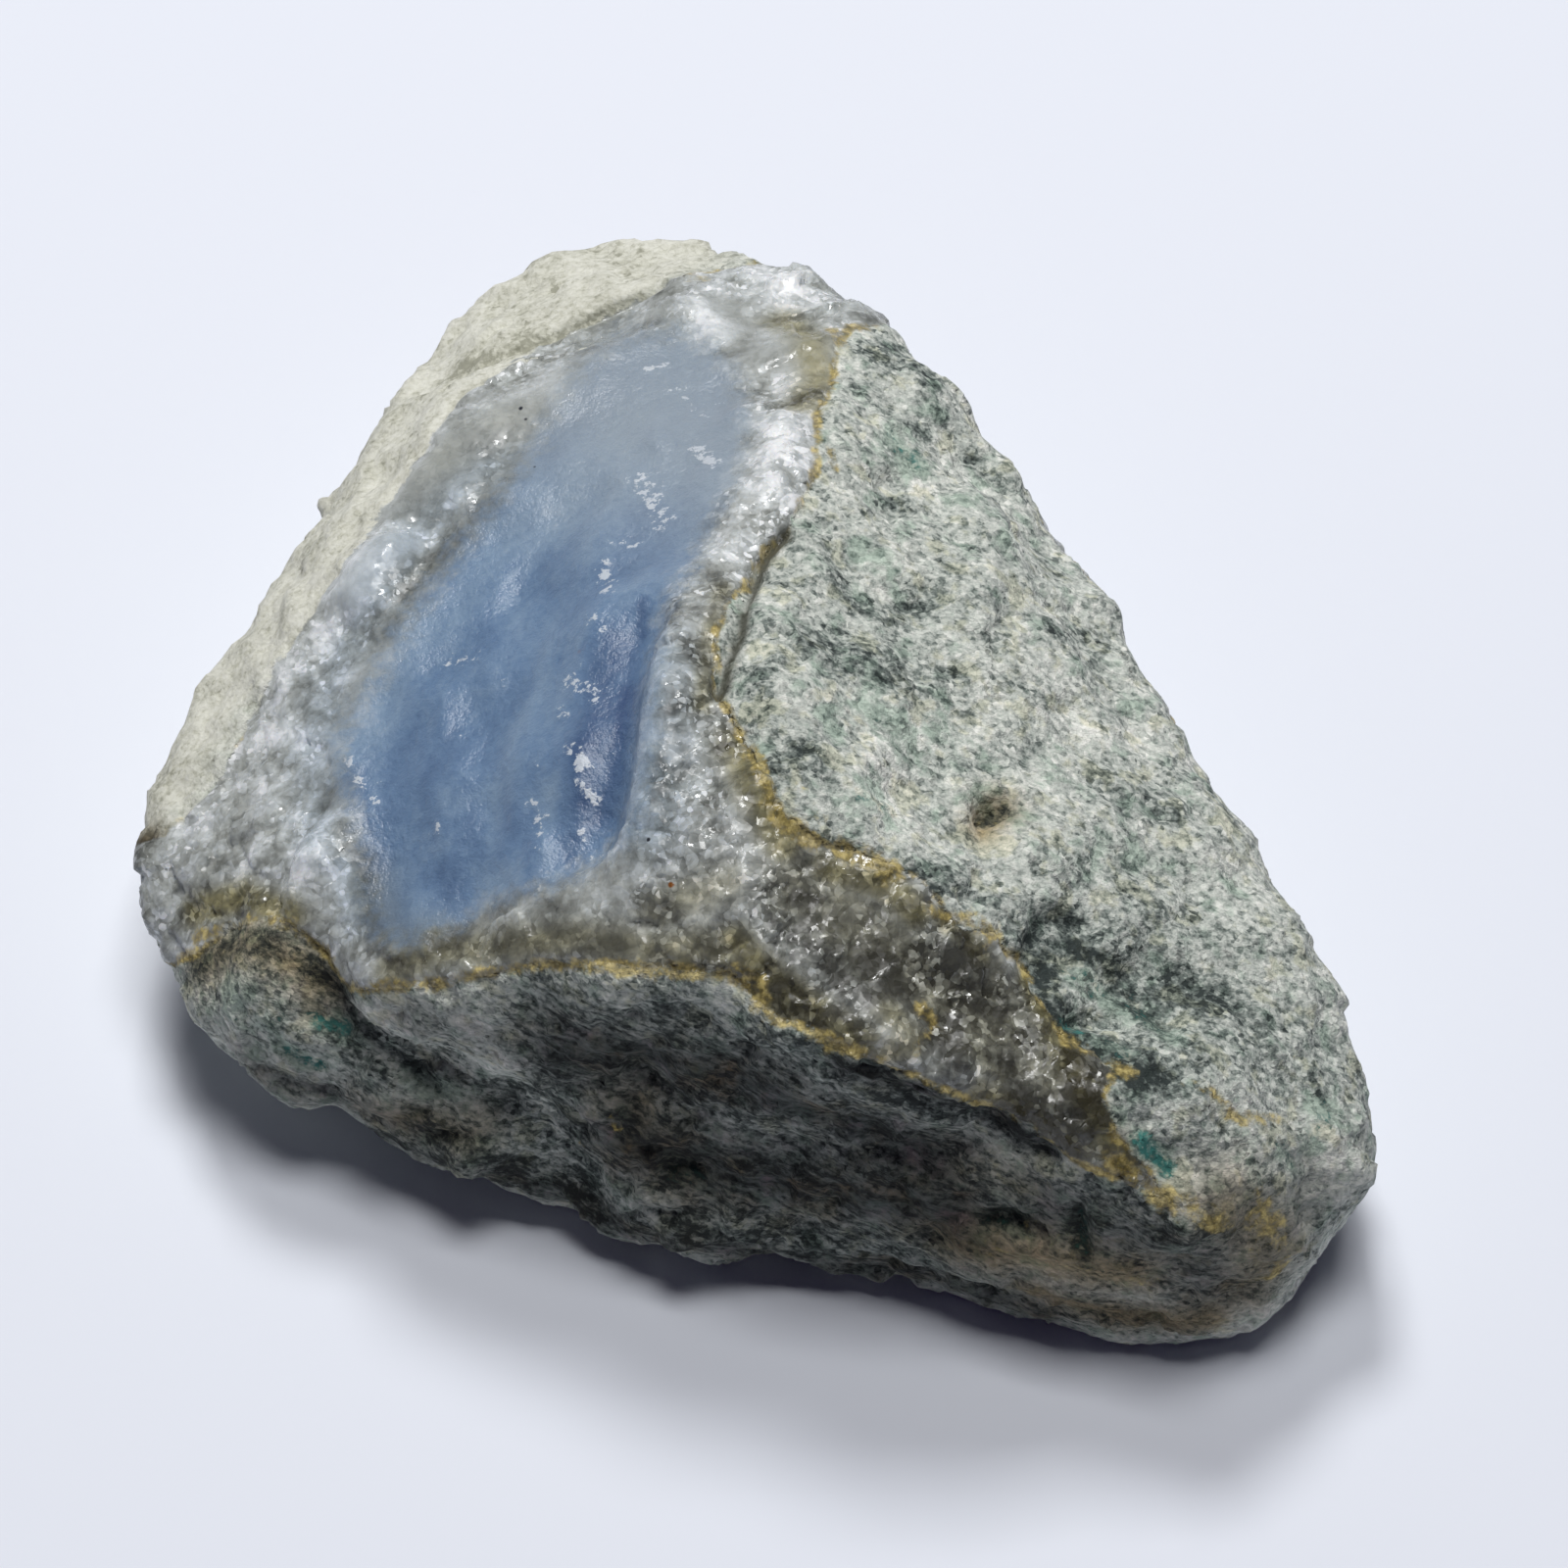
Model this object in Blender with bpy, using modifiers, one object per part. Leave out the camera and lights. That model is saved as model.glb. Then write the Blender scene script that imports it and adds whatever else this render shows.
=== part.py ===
"""Rough blue opal: one broken lump of grey-green rock that holds a vein of quartz and blue opal.

The lump is the hull of its main corners, rounded by a voxel remesh. Ledges, hollows, pits and the
flakes of the break are then worked into it, and its underside is worn flat where it lies.
Metres, +Z up. The origin is under the middle of the stone, on the surface that it lies on.
"""

import math

import bmesh
import bpy
from mathutils import Vector, geometry, noise

MM = 0.001

# Corners of the lump in millimetres, on a stone about 80 mm across.
# The crest where the rough right side meets the vein, from the back to the front right
CREST = [
    (6.0, 33.5, 25.0),
    (3.0, 23.5, 28.5),
    (0.0, 8.0, 33.0),
    (-3.5, -7.0, 36.0),
    (-2.5, -13.5, 35.5),
    (6.0, -18.5, 32.0),
    (12.5, -21.0, 28.5),
    (20.0, -28.0, 23.5),
    (27.0, -31.5, 18.0),
]
# The edge where the vein ends above the dark front side, from the left tip to the right corner
FRONT_EDGE = [
    (-40.5, -9.5, 12.0),
    (-33.5, -11.5, 17.0),
    (-26.5, -18.5, 19.0),
    (-21.5, -20.0, 22.5),
    (-14.5, -22.0, 26.0),
    (-3.5, -24.5, 29.5),
    (4.0, -27.5, 27.0),
    (14.5, -30.5, 23.0),
    (24.0, -34.0, 17.5),
    (30.0, -32.5, 14.0),
]
# Where the right side turns under, from the back to the right corner
RIGHT_SHOULDER = [
    (7.5, 34.0, 24.0),
    (11.5, 28.5, 23.0),
    (17.0, 20.0, 22.0),
    (21.5, 11.0, 21.0),
    (25.5, 1.0, 20.0),
    (31.5, -8.5, 18.0),
    (35.5, -18.5, 15.5),
    (37.5, -23.5, 13.0),
    (37.0, -26.5, 11.0),
    (34.0, -30.5, 8.0),
]
# The foot of the front side, from the right corner to the left tip
FRONT_FOOT = [
    (30.5, -33.0, 4.0),
    (27.5, -33.5, 2.0),
    (22.5, -32.5, 1.0),
    (18.5, -31.5, 1.0),
    (11.5, -28.5, 1.5),
    (4.5, -28.0, 1.0),
    (-5.0, -26.5, 2.0),
    (-10.0, -25.5, 4.0),
    (-14.0, -24.5, 7.0),
    (-20.5, -23.0, 7.0),
    (-25.0, -21.5, 7.0),
    (-32.5, -18.0, 7.0),
    (-37.5, -14.0, 8.0),
    (-40.5, -9.5, 10.0),
    (-43.0, -4.5, 12.0),
]
# Where the back left side turns under, from the left tip to the back
LEFT_SHOULDER = [
    (-42.5, -0.5, 13.0),
    (-41.0, 3.5, 14.0),
    (-39.0, 8.5, 15.0),
    (-33.0, 20.0, 16.0),
    (-26.5, 31.5, 17.0),
    (-21.5, 42.5, 17.0),
    (-18.0, 45.5, 17.5),
    (-12.0, 48.0, 18.0),
    (-6.5, 46.5, 19.0),
    (0.0, 41.0, 22.0),
    (5.0, 37.0, 24.0),
]
# Where the vein ends on the back left, from the left tip to the back
LEFT_EDGE = [
    (-41.0, -3.0, 14.5),
    (-33.5, 9.0, 18.0),
    (-25.0, 24.0, 21.5),
    (-16.5, 34.0, 22.5),
    (-6.5, 38.5, 22.5),
]
# The underside, which the photograph doesn't show, all round from the front right
UNDERSIDE = [
    (24.0, -30.0, -0.9),
    (4.0, -25.5, -0.9),
    (-14.0, -20.0, -0.9),
    (-27.0, -11.0, -0.9),
    (-34.0, -1.0, 3.0),
    (-30.0, 14.0, -0.9),
    (-24.0, 29.0, 2.0),
    (-15.0, 38.0, -0.9),
    (-4.0, 42.0, 4.0),
    (9.0, 33.0, 1.0),
    (18.0, 20.0, -0.9),
    (29.0, 3.0, 4.0),
    (33.0, -8.0, -0.9),
    (36.0, -19.0, 3.0),
    (33.0, -26.0, -0.9),
]

# What is worked into the sides, in millimetres: a name, the width of its slope, how far it stands
# out (less than nothing where it is sunk) and the points that it runs through
RELIEF = [
    ("crease under the left lobe", 2.4, -2.2,
     [(-29, -16.5, 17), (-24.5, -19.5, 15.5), (-20.5, -21.5, 14), (-15, -23.5, 12.5)]),
    ("left lobe", 4.5, 1.2, [(-33.5, -15.5, 12)]),
    ("notch in the front foot", 2.6, -1.8, [(-16, -24, 9), (-13, -24.5, 6.5)]),
    ("bulge of the front foot", 3.0, 0.5, [(-10, -25.5, 6), (-2.5, -27.5, 5.5)]),
    ("hollow in the front", 3.2, -1.7, [(-8.5, -25, 17.5)]),
    ("ledge under the vein", 1.8, 1.1, [(-2.5, -25, 25.5), (5, -27.5, 25), (12.5, -29.5, 23.5)]),
    ("trough along the front", 3.2, -1.9, [(-1, -27, 17), (6, -28.5, 17.5), (14.5, -31, 18)]),
    ("small hollow in the front", 1.8, -1.2, [(-7, -26.5, 11.5)]),
    ("patch at the front foot", 2.6, 0.7, [(13, -31, 7), (19.5, -32.5, 7)]),
    ("crack beside the vein", 1.6, -1.3,
     [(0, 7.5, 33), (-2, 3.5, 33.5), (-3.5, -2.5, 34.5), (-4, -7.5, 35), (-3.5, -11.5, 35)]),
    ("round pit", 1.7, -1.8, [(13, -11, 28)]),
    ("long pit near the shoulder", 1.6, -1.4, [(12, 22, 24), (14.5, 19.5, 23.5)]),
    ("step in the right side", 1.7, -1.6, [(18.5, -17.5, 25.5), (15.5, -21, 26.5), (14.5, -24, 27)]),
    ("hollow below the step", 3.6, -1.6, [(19, -21, 25)]),
    ("hollow by the right corner", 3.0, -1.2, [(24.5, -19.5, 21.5)]),
    ("slot by the end of the vein", 1.6, -1.3, [(17.5, -25, 25), (20.5, -24, 23.5)]),
    ("lobe at the right corner", 3.5, 0.8, [(27.5, -27, 19)]),
    ("pit in the right corner", 1.6, -0.9, [(23, -30.5, 20.5), (23.5, -31.5, 19.5)]),
    ("hollows in the right side", 2.2, -1.0, [(8, 5, 29), (9.5, 0.5, 29)]),
    ("dish of the opal", 8.0, -0.9, [(-17.5, -2, 28), (-13, 20, 26.5)]),
    ("step in the opal", 1.7, -1.5,
     [(-9, 0.5, 32.5), (-10, -6, 32.5), (-10.5, -11, 31), (-12, -15, 29.5)]),
    ("lip beside the opal", 1.8, 0.8, [(-6.5, -2, 34), (-8, -9.5, 33), (-9, -15, 31)]),
    ("trough along the vein", 2.6, -1.2, [(2, -19.5, 32), (8, -23.5, 28.5), (14, -26.5, 25.5)]),
    ("white lump on the left", 2.4, 0.8, [(-27.5, 14, 21)]),
    ("quartz lump on the left", 3.2, 1.1, [(-30, -9, 20)]),
    ("groove at the back left", 1.6, -1.6,
     [(-23, 33.5, 19), (-19, 33, 21.5), (-14.5, 34.5, 22.5), (-10, 37, 22.5)]),
    ("chip at the left tip", 2.0, -0.7, [(-41.5, -4.5, 13)]),
    ("hollow under the middle", 8.5, -3.0, [(-11, 2, -1), (5, 9, -1)]),
    ("hollow under the back", 5.0, -2.2, [(-20, 22, -1), (-10, 28, -1)]),
    ("hollow under the front", 4.5, -2.2, [(-6, -20, -1), (9, -23, -1)]),
    ("hollow under the right side", 5.0, -2.2, [(20, -10, -1), (26, -1, 0)]),
    ("ledge in the back right side", 3.2, -1.4, [(14, 26, 12), (22, 12, 11), (30, -2, 10)]),
    ("hollow in the back left side", 3.6, -1.6, [(-33, 17, 9), (-25, 32, 9)]),
]

# The lump's mesh: the width of a cell, and how often the crests and then the break are eased
CELL = 1.88
EASING = 0.5
CREST_STEPS = 1
BREAK_STEPS = 1
# The natural unevenness of the break: the size of a lump and how far it stands out, and the size of
# a flat flake and its slope
BROAD_LUMPS = (14.0, 1.0)
SMALL_LUMPS = (5.0, 0.6)
FLAKES = (6.0, 0.15)
# What the easing takes off the sides, which is put back on
GROWTH = 0.4
# The side of the block that stands for the ground and wears the underside flat
GROUND = 200.0


def clear_scene():
    for old in list(bpy.data.objects):
        bpy.data.objects.remove(old)


def stone_material():
    made = bpy.data.materials.new("host_rock_with_opal_vein")
    made.use_nodes = True
    shader = made.node_tree.nodes["Principled BSDF"]
    shader.inputs["Base Color"].default_value = (0.36, 0.38, 0.36, 1.0)
    shader.inputs["Roughness"].default_value = 0.8
    shader.inputs["Metallic"].default_value = 0.0
    return made


def hull_of(corners, name):
    """The closed hull of the corners, as a mesh object in the scene."""
    shape = bmesh.new()
    for corner in corners:
        shape.verts.new(Vector(corner) * MM)
    made = bmesh.ops.convex_hull(shape, input=shape.verts)
    inside = [v for v in made["geom_interior"] if isinstance(v, bmesh.types.BMVert)]
    bmesh.ops.delete(shape, geom=inside, context="VERTS")
    bmesh.ops.recalc_face_normals(shape, faces=shape.faces)
    mesh = bpy.data.meshes.new(name)
    shape.to_mesh(mesh)
    shape.free()
    hull = bpy.data.objects.new(name, mesh)
    bpy.context.scene.collection.objects.link(hull)
    return hull


def apply_modifiers(stone):
    """Makes the stone's mesh what its modifiers show."""
    graph = bpy.context.evaluated_depsgraph_get()
    shown = bpy.data.meshes.new_from_object(stone.evaluated_get(graph))
    stone.modifiers.clear()
    stone.data = shown


def ease(stone, steps):
    """Draws each point towards its neighbours, so that crests are less sharp."""
    easing = stone.modifiers.new("easing", "SMOOTH")
    easing.iterations = steps
    easing.factor = EASING
    apply_modifiers(stone)


def remesh(stone):
    """Gives the hull an even mesh of small cells."""
    cells = stone.modifiers.new("even_cells", "REMESH")
    cells.mode = "VOXEL"
    cells.voxel_size = CELL * MM
    apply_modifiers(stone)


def distance_to_path(point, path):
    """How far a point is from a run of straight stretches, or from a single place."""
    nearest = min((point - place).length for place in path)
    for start, end in zip(path, path[1:]):
        foot, share = geometry.intersect_point_line(point, start, end)
        if 0.0 < share < 1.0:
            nearest = min(nearest, (point - foot).length)
    return nearest


def relief_at(point):
    """The height in millimetres that the named hollows and lumps give at a point."""
    total = 0.0
    for _, width, height, places in RELIEF:
        away = distance_to_path(point, [Vector(place) for place in places]) / width
        total += height * math.exp(-away * away)
    return total


def flake_at(point):
    """The height of the flat flake that a point is on: each tilts its own way about its middle."""
    size, slope = FLAKES
    middle = noise.voronoi(point / size)[1][0]
    tilt = noise.cell_vector(middle * size) - Vector((0.5, 0.5, 0.5))
    return size * slope * 2.0 * tilt.dot(point / size - middle)


def unevenness_at(point):
    """The height in millimetres of the natural lumps and flakes at a point."""
    total = flake_at(point)
    for size, height in (BROAD_LUMPS, SMALL_LUMPS):
        total += height * noise.noise(point / size)
    return total


def work_surface(mesh):
    """Moves each point in or out along its normal by the relief and the unevenness there."""
    moves = []
    for vertex in mesh.vertices:
        point = vertex.co / MM
        height = GROWTH + relief_at(point) + unevenness_at(point)
        moves.append(vertex.normal * height * MM)
    for vertex, move in zip(mesh.vertices, moves):
        vertex.co += move


def wear_flat(stone):
    """Cuts the underside off flat where the stone rests."""
    shape = bmesh.new()
    bmesh.ops.create_cube(shape, size=GROUND * MM)
    bmesh.ops.translate(shape, verts=shape.verts, vec=(0, 0, -GROUND * MM / 2))
    mesh = bpy.data.meshes.new("ground")
    shape.to_mesh(mesh)
    shape.free()
    ground = bpy.data.objects.new("ground", mesh)
    bpy.context.scene.collection.objects.link(ground)
    cut = stone.modifiers.new("worn_underside", "BOOLEAN")
    cut.operation = "DIFFERENCE"
    cut.object = ground
    apply_modifiers(stone)
    bpy.data.objects.remove(ground)


def centre(mesh):
    """Puts the origin under the middle of the stone."""
    xs = [v.co.x for v in mesh.vertices]
    ys = [v.co.y for v in mesh.vertices]
    middle = Vector((min(xs) + max(xs), min(ys) + max(ys), 0.0)) / 2
    for vertex in mesh.vertices:
        vertex.co -= middle


def main():
    clear_scene()
    corners = CREST + FRONT_EDGE + RIGHT_SHOULDER + FRONT_FOOT + LEFT_SHOULDER + LEFT_EDGE + UNDERSIDE
    stone = hull_of(corners, "blue_opal_stone")
    remesh(stone)
    ease(stone, CREST_STEPS)
    work_surface(stone.data)
    ease(stone, BREAK_STEPS)
    wear_flat(stone)
    centre(stone.data)
    stone.data.materials.append(stone_material())


main()
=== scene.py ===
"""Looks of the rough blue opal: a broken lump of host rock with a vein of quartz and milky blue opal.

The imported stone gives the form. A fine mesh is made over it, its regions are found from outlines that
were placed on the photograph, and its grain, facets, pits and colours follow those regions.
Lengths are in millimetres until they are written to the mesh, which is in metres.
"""

import math

import bmesh
import bpy
import numpy as np
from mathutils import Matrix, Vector, noise
from mathutils.bvhtree import BVHTree


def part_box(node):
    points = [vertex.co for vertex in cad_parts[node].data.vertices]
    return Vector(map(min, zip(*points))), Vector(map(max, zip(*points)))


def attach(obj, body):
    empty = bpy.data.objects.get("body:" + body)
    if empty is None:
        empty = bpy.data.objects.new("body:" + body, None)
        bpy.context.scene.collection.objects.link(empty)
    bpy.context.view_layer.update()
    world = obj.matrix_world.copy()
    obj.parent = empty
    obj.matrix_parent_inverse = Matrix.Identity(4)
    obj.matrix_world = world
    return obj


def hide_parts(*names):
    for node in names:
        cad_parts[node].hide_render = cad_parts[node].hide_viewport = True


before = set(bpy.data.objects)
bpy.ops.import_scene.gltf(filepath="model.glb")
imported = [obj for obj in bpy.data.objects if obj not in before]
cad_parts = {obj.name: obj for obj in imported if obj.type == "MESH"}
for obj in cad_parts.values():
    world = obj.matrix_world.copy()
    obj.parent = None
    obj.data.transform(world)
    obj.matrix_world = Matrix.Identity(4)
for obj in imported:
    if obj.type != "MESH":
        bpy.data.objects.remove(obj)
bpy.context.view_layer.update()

MM = 0.001
NODE = "blue_opal_stone"

# The camera: it looks along +Y and down, at a point of the stone
CAMERA_ELEVATION = math.radians(52)
CAMERA_DISTANCE = 430.0
FRAME_WIDTH = 101.6
FRAME_PIXELS = 1600
LOOK_AT = np.array([2.216, -6.221, 17.0])
SENSOR = 36.0
FORWARD = np.array([0.0, math.cos(CAMERA_ELEVATION), -math.sin(CAMERA_ELEVATION)])
IMAGE_UP = np.array([0.0, math.sin(CAMERA_ELEVATION), math.cos(CAMERA_ELEVATION)])
IMAGE_RIGHT = np.array([1.0, 0.0, 0.0])
EYE = LOOK_AT - FORWARD * CAMERA_DISTANCE
PIXELS_PER_MM = FRAME_PIXELS / FRAME_WIDTH

# Outline of the vein in pixels of the photograph, clockwise from the left tip. It runs outside the
# stone where the vein goes on round the side
VEIN_OUTLINE = [
    (90, 1000), (90, 880), (160, 862), (220, 800), (280, 685), (350, 580), (420, 472), (470, 400),
    (573, 347), (679, 297), (728, 275), (770, 268), (800, 262), (830, 200), (930, 290), (911, 329),
    (870, 333), (854, 349), (850, 390), (833, 427), (833, 451), (829, 492), (801, 541), (769, 575),
    (748, 610), (732, 650), (728, 701), (744, 730), (769, 767), (785, 791), (801, 833), (842, 862),
    (874, 870), (915, 882), (944, 902), (980, 943), (1013, 951), (1038, 980), (1062, 1025),
    (1087, 1062), (1111, 1070), (1140, 1090), (1127, 1119), (1140, 1160), (1176, 1196), (1187, 1226),
    (1152, 1209), (1119, 1196), (1087, 1180), (1046, 1145), (1005, 1127), (964, 1111), (923, 1096),
    (882, 1078), (842, 1058), (801, 1041), (770, 1020), (742, 992), (661, 992), (620, 985), (567, 980),
    (530, 988), (485, 1000), (430, 1007), (371, 1013), (350, 1000), (334, 976), (310, 950), (273, 936),
    (235, 945), (195, 972), (172, 985),
]
OPAL_OUTLINE = [
    (749, 375), (720, 345), (687, 334), (630, 342), (585, 375), (549, 436), (524, 485), (463, 562),
    (414, 628), (373, 701), (342, 750), (346, 791), (360, 833), (371, 874), (371, 915), (383, 955),
    (408, 968), (440, 955), (477, 943), (497, 923), (538, 911), (579, 898), (618, 876), (642, 848),
    (658, 800), (662, 750), (667, 700), (676, 650), (688, 607), (712, 579), (730, 534),
    (753, 493), (769, 436), (757, 391),
]

# The vein on the side that the photograph doesn't show: the height of its upper face over the place
# under the stone, which falls to the right and bends down to the back, and its thickness
VEIN_TOP = 33.2
VEIN_FALL = 0.6
VEIN_TILT = 0.03
VEIN_BEND = 0.0035
VEIN_THICKNESS = 5.5
# The cream rock is left of this line, seen from above
CREAM_LINE = [(-38.5, -10.0), (-4.5, 32.5)]

# The layers of the host rock run down to the right: they are drawn out along the first axis and thin
# along the last
GRAIN_TILT = math.radians(20)
GRAIN_STRETCH = (0.85, 0.97, 1.2)

# Relief that is too fine for the solid: a name, the width of its slope, how far it stands out and the
# pixels that it runs through
RELIEF = [
    ("crack beside the vein", 0.4, -0.8, [
        (801, 544), (780, 565), (769, 587), (757, 620), (752, 648), (738, 680), (731, 705),
    ]),
    ("round pit", 0.6, -0.8, [(1002, 838), (1022, 826)]),
    ("mouth of the round pit", 1.4, -0.1, [(1010, 832)]),
    ("long pit", 0.5, -0.5, [(992, 468), (1008, 484), (1025, 498)]),
    ("upper dark pit", 0.4, -0.5, [(920, 620), (944, 619)]),
    ("middle dark pit", 0.45, -0.5, [(955, 682), (978, 687)]),
    ("pit by the contact", 0.55, -0.7, [(798, 768), (826, 761)]),
    ("lower dot", 0.45, -0.5, [(1062, 884)]),
    ("arc step", 0.5, -0.4, [(1048, 966), (1060, 942), (1080, 934), (1102, 945)]),
    ("dark hollow", 1.1, -0.4, [(1198, 1000), (1225, 1006), (1250, 1018)]),
    ("green hollow", 0.9, -0.6, [(1140, 1008), (1165, 1022), (1192, 1040)]),
    ("teal slot", 0.6, -0.9, [(1094, 1043), (1115, 1038), (1136, 1041)]),
    ("teal pit", 0.6, -0.6, [(1174, 1168), (1182, 1180), (1188, 1192)]),
    ("small teal pit", 0.4, -0.4, [(1246, 1151)]),
    ("lump of the right corner", 1.4, 0.5, [(1215, 1120), (1240, 1170)]),
    ("hollow near the right edge", 0.9, -0.25, [(1140, 811), (1190, 830)]),
    ("crease of the left lobe", 0.8, -0.6, [(332, 1004), (363, 1040), (396, 1070), (436, 1098)]),
    ("green dent", 0.8, -0.6, [(322, 1041), (350, 1053)]),
    ("green groove", 0.6, -0.5, [(290, 1072), (305, 1086), (325, 1091)]),
    ("notch at the foot", 0.6, -0.8, [(450, 1164), (478, 1165)]),
    ("notch below the green dent", 0.8, -0.7, [(560, 1158), (585, 1176), (602, 1190)]),
    ("dark dent in the front", 0.7, -0.6, [(645, 1088), (660, 1100)]),
    ("teal dent in the front", 0.7, -0.7, [(684, 1190), (712, 1196)]),
    ("gap under the vein", 1.0, -0.6, [(770, 1075), (850, 1092), (940, 1120), (1010, 1146)]),
    ("slot in the front", 0.7, -0.8, [(1010, 1246), (1040, 1244)]),
    ("upright slot in the front", 0.6, -0.8, [(1098, 1235), (1103, 1268)]),
    ("ridge at the front foot", 0.8, 0.4, [(980, 1256), (1075, 1272), (1150, 1290)]),
    ("groove at the back left", 2.2, 0.6, [(459, 381), (510, 366), (573, 343), (640, 316), (679, 297)]),
    ("line of the groove", 0.45, -0.6, [(450, 388), (510, 368), (573, 345), (640, 316), (679, 297)]),
    ("small hole at the back", 0.35, -0.6, [(567, 293)]),
    ("step in the opal", 1.3, -0.08, [(649, 630), (636, 681), (622, 730), (618, 783), (606, 830)]),
    ("lip beside the opal", 1.8, 0.3, [(676, 665), (670, 720), (664, 765), (654, 815)]),
    ("ridge in the opal", 1.2, 0.2, [(561, 656), (549, 697), (526, 750), (520, 783), (524, 830)]),
    ("white lump on the left", 1.9, 0.8, [(362, 602), (380, 580), (398, 562)]),
    ("quartz lump on the left", 1.8, 0.9, [(318, 880), (306, 912)]),
    ("quartz lump at the top", 1.5, 0.6, [(708, 320), (738, 344)]),
    ("quartz lump by the contact", 1.3, 0.6, [(802, 432), (796, 465), (788, 500)]),
    ("quartz lump at the front", 1.2, 0.6, [(902, 1040), (912, 1060)]),
    ("quartz edge", 0.8, 0.4, [(230, 830), (262, 790), (300, 770)]),
    ("flat of the right edge", 3.0, -1.3, [(1075, 552), (1104, 600), (1126, 650), (1156, 710), (1176, 745)]),
    ("flat of the lower right edge", 2.5, -0.6, [(1345, 1010), (1368, 1055)]),
    ("rise of the top right edge", 2.0, 0.25, [(925, 350), (948, 385)]),
    ("flat of the back left edge", 3.0, -0.8, [(500, 312), (450, 372), (418, 420), (390, 465)]),
    ("flat of the left edge", 2.5, -0.6, [(225, 705), (202, 742)]),
    ("left tip", 1.6, 0.9, [(158, 872), (160, 905), (163, 932)]),
]
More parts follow.
